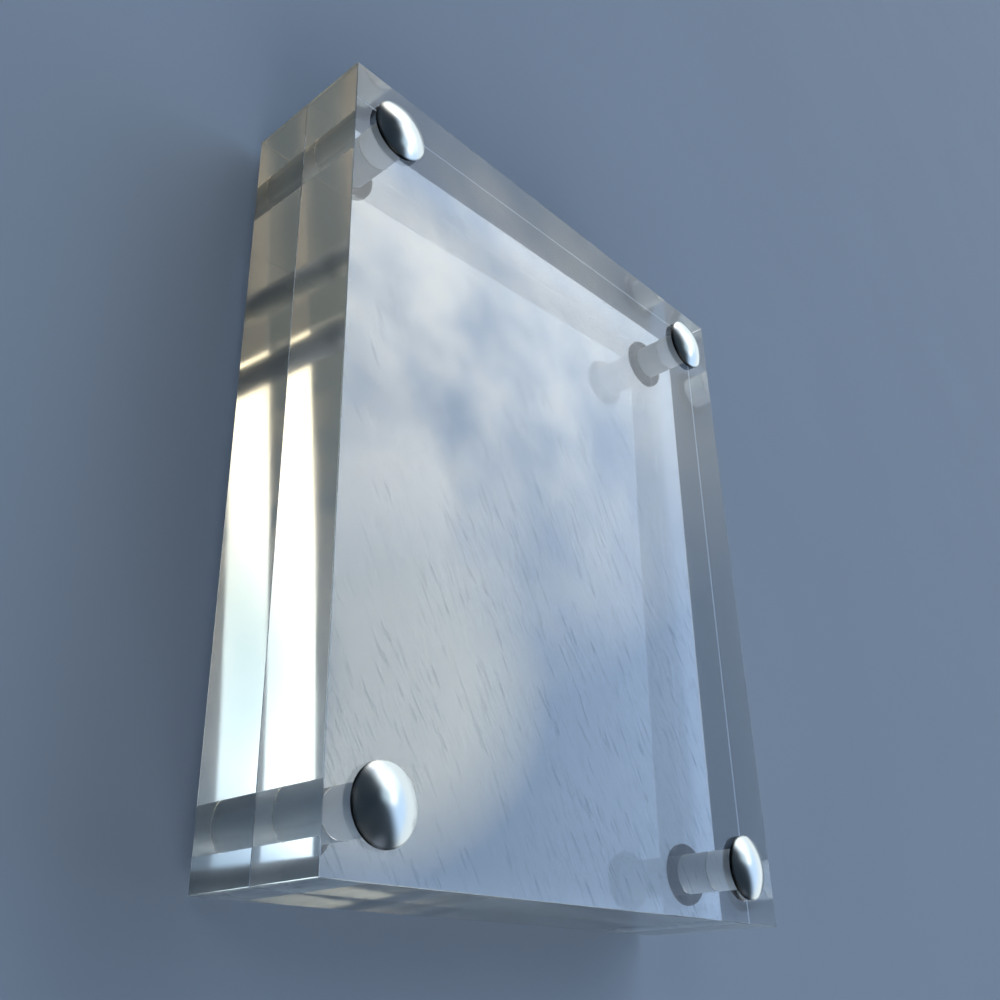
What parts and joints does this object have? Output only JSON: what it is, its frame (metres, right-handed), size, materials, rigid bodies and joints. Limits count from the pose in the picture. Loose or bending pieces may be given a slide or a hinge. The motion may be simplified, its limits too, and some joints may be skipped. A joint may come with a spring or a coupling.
{
  "type": "screwdown card holder",
  "caption": "Clear slab card holder: thick polished acrylic slabs drawn together at the corners by domed binding posts and slotted screws, to press a card flat between them.",
  "frame": {"origin": "under the middle of the holder, on the surface that the back screw heads rest on", "axes": "+X to the right and +Y to the top edge as seen from the front, +Z out of the front face; the holder lies on its back"},
  "size_m": [0.102, 0.125, 0.03],
  "materials": {
    "clear_acrylic": "water-clear cast acrylic, faces and edges polished, bores left frosted by the drill",
    "satin_post": "satin turned metal, smooth dome",
    "plated_screw": "satin plated steel, slotted dome"
  },
  "bodies": {
    "back_panel": {"back_panel": "clear_acrylic"},
    "front_panel": {"front_panel": "clear_acrylic"},
    "post_top_left": {"post_top_left": "satin_post"},
    "post_top_right": {"post_top_right": "satin_post"},
    "post_bottom_left": {"post_bottom_left": "satin_post"},
    "post_bottom_right": {"post_bottom_right": "satin_post"},
    "screw_top_left": {"screw_top_left": "plated_screw"},
    "screw_top_right": {"screw_top_right": "plated_screw"},
    "screw_bottom_left": {"screw_bottom_left": "plated_screw"},
    "screw_bottom_right": {"screw_bottom_right": "plated_screw"}
  },
  "joints": [
    {"name": "front_panel_lift", "type": "slide", "parent": "back_panel", "child": "front_panel", "axis": [0, 0, 1], "range_m": [0, 0.03]},
    {"name": "screw_top_left_turn", "type": "hinge", "parent": "back_panel", "child": "screw_top_left", "pos_m": [-0.042, 0.0535, 0], "axis": [0, 0, -1], "range_deg": [0, 3600]},
    {"name": "screw_top_right_turn", "type": "hinge", "parent": "back_panel", "child": "screw_top_right", "pos_m": [0.042, 0.0535, 0], "axis": [0, 0, -1], "range_deg": [0, 3600]},
    {"name": "screw_bottom_left_turn", "type": "hinge", "parent": "back_panel", "child": "screw_bottom_left", "pos_m": [-0.042, -0.0535, 0], "axis": [0, 0, -1], "range_deg": [0, 3600]},
    {"name": "screw_bottom_right_turn", "type": "hinge", "parent": "back_panel", "child": "screw_bottom_right", "pos_m": [0.042, -0.0535, 0], "axis": [0, 0, -1], "range_deg": [0, 3600]},
    {"name": "post_top_left_draw", "type": "slide", "parent": "front_panel", "child": "post_top_left", "axis": [0, 0, 1], "range_m": [0, 0.00794]},
    {"name": "post_top_right_draw", "type": "slide", "parent": "front_panel", "child": "post_top_right", "axis": [0, 0, 1], "range_m": [0, 0.00794]},
    {"name": "post_bottom_left_draw", "type": "slide", "parent": "front_panel", "child": "post_bottom_left", "axis": [0, 0, 1], "range_m": [0, 0.00794]},
    {"name": "post_bottom_right_draw", "type": "slide", "parent": "front_panel", "child": "post_bottom_right", "axis": [0, 0, 1], "range_m": [0, 0.00794]}
  ],
  "couplings": [
    {"joint": "screw_top_left_turn", "follows": "post_top_left_draw", "rad_per_m": 7915.8},
    {"joint": "screw_top_right_turn", "follows": "post_top_right_draw", "rad_per_m": 7915.8},
    {"joint": "screw_bottom_left_turn", "follows": "post_bottom_left_draw", "rad_per_m": 7915.8},
    {"joint": "screw_bottom_right_turn", "follows": "post_bottom_right_draw", "rad_per_m": 7915.8}
  ]
}
